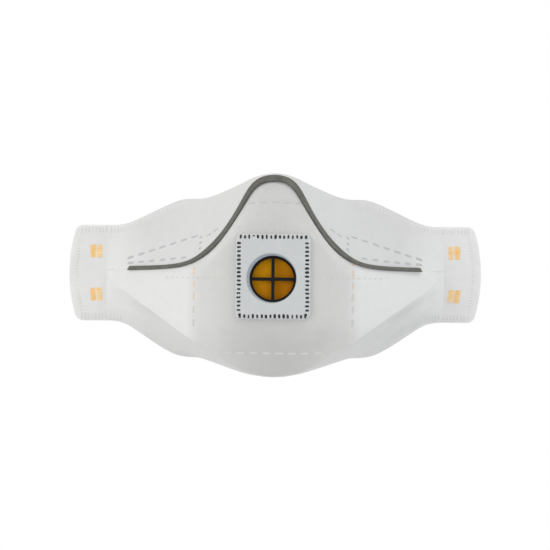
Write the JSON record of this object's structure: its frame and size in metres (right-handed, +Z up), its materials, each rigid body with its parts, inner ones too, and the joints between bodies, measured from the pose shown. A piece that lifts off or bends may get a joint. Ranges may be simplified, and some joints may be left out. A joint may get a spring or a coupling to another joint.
{
  "type": "disposable dust mask",
  "caption": "Fold-flat disposable dust mask standing open as a cup, with side tabs, outer nose clip, exhalation valve with lifting disc and headbands that swing behind it.",
  "frame": {"origin": "the middle of the face opening, in the plane of the side tabs", "axes": "+Z up towards the nose, +Y out of the open back towards the wearer, -Y out through the valve, +X to the right as the front is looked at"},
  "size_m": [0.2264, 0.0695, 0.1114],
  "materials": {
    "outer_web": "white spunbond nonwoven, matt, fine fibre",
    "filter": "white meltblown nonwoven, soft, matt",
    "inner_web": "white spunbond nonwoven, smooth, matt",
    "stiffener": "white open nonwoven net",
    "tab_web": "white nonwoven, hot-embossed at the edges",
    "clip_metal": "dark warm grey, matt coated",
    "foam": "pale grey soft foam",
    "patch_web": "white nonwoven over the valve's flange",
    "valve_plastic": "black moulded plastic, fine matt",
    "diaphragm_rubber": "amber translucent rubber, satin",
    "seat_plastic": "black moulded plastic",
    "weld_black": "black plastic showing through the welds",
    "band": "orange woven elastic band",
    "band_weld": "orange band showing through the welds"
  },
  "bodies": {
    "mask_body": {"centre_outer_web": "outer_web", "upper_outer_web": "outer_web", "lower_outer_web": "outer_web", "centre_stiffener": "stiffener", "centre_filter": "filter", "upper_filter": "filter", "lower_filter": "filter", "centre_inner_web": "inner_web", "upper_inner_web": "inner_web", "lower_inner_web": "inner_web", "left_tab_front_ply": "tab_web", "left_tab_back_ply": "tab_web", "right_tab_front_ply": "tab_web", "right_tab_back_ply": "tab_web", "nose_clip": "clip_metal", "nose_foam": "foam", "valve_patch": "patch_web", "valve_bezel": "valve_plastic", "valve_cover": "valve_plastic", "valve_seat": "seat_plastic", "valve_weld_ticks": "weld_black", "upper_left_band_end": "band", "upper_right_band_end": "band", "lower_left_band_end": "band", "lower_right_band_end": "band", "left_band_welds": "band_weld", "right_band_welds": "band_weld"},
    "valve_disc": {"valve_diaphragm": "diaphragm_rubber"},
    "upper_band": {"upper_headband": "band"},
    "lower_band": {"lower_headband": "band"}
  },
  "joints": [
    {"name": "valve_disc_lift", "type": "slide", "parent": "mask_body", "child": "valve_disc", "axis": [0, -0.9945, 0.1045], "range_m": [0, 0.0012], "stiffness_N_per_m": 20},
    {"name": "upper_band_swing", "type": "hinge", "parent": "mask_body", "child": "upper_band", "pos_m": [0, 0.0055, 0.0099], "axis": [1, 0, 0], "range_deg": [-10, 150]},
    {"name": "lower_band_swing", "type": "hinge", "parent": "mask_body", "child": "lower_band", "pos_m": [0, 0.0055, -0.014], "axis": [1, 0, 0], "range_deg": [-10, 120]}
  ]
}
